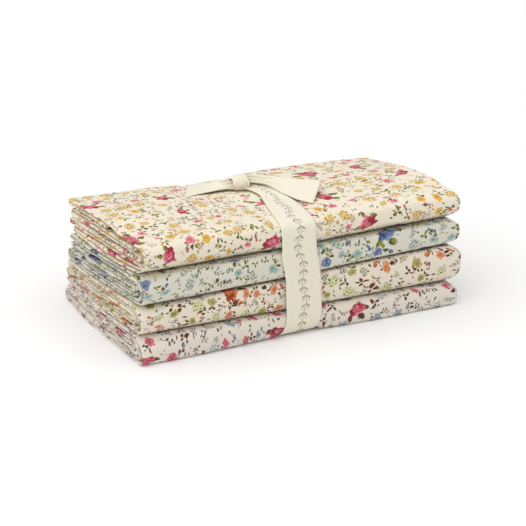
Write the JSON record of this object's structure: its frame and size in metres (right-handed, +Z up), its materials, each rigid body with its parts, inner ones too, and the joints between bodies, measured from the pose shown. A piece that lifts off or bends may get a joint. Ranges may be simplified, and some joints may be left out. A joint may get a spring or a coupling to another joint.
{
  "type": "quarter-yard fabric bundle",
  "caption": "Stack of folded floral cotton cuts held by a flat cotton tape, tied on top with a knot and two free tails.",
  "frame": {"origin": "centre of the bundle's footprint, on the surface that it rests on", "axes": "+X along the folds, from the left ends to the right ends; +Y to the back; +Z up; the rolled front folds face -Y"},
  "size_m": [0.261, 0.1448, 0.0945],
  "materials": {
    "cotton_grey_beige": "matt plain-weave cotton, floral print on pale grey-beige",
    "cotton_cream": "matt plain-weave cotton, floral print on pinkish cream",
    "cotton_pale_blue": "matt plain-weave cotton, floral print on pale blue-grey",
    "cotton_warm_cream": "matt plain-weave cotton, floral print on warm cream",
    "tape_ivory": "matt woven cotton tape, ivory"
  },
  "bodies": {
    "root": {"cloth_bottom": "cotton_grey_beige", "cloth_third": "cotton_cream", "cloth_second": "cotton_pale_blue", "cloth_top": "cotton_warm_cream", "tape": "tape_ivory"}
  },
  "joints": []
}
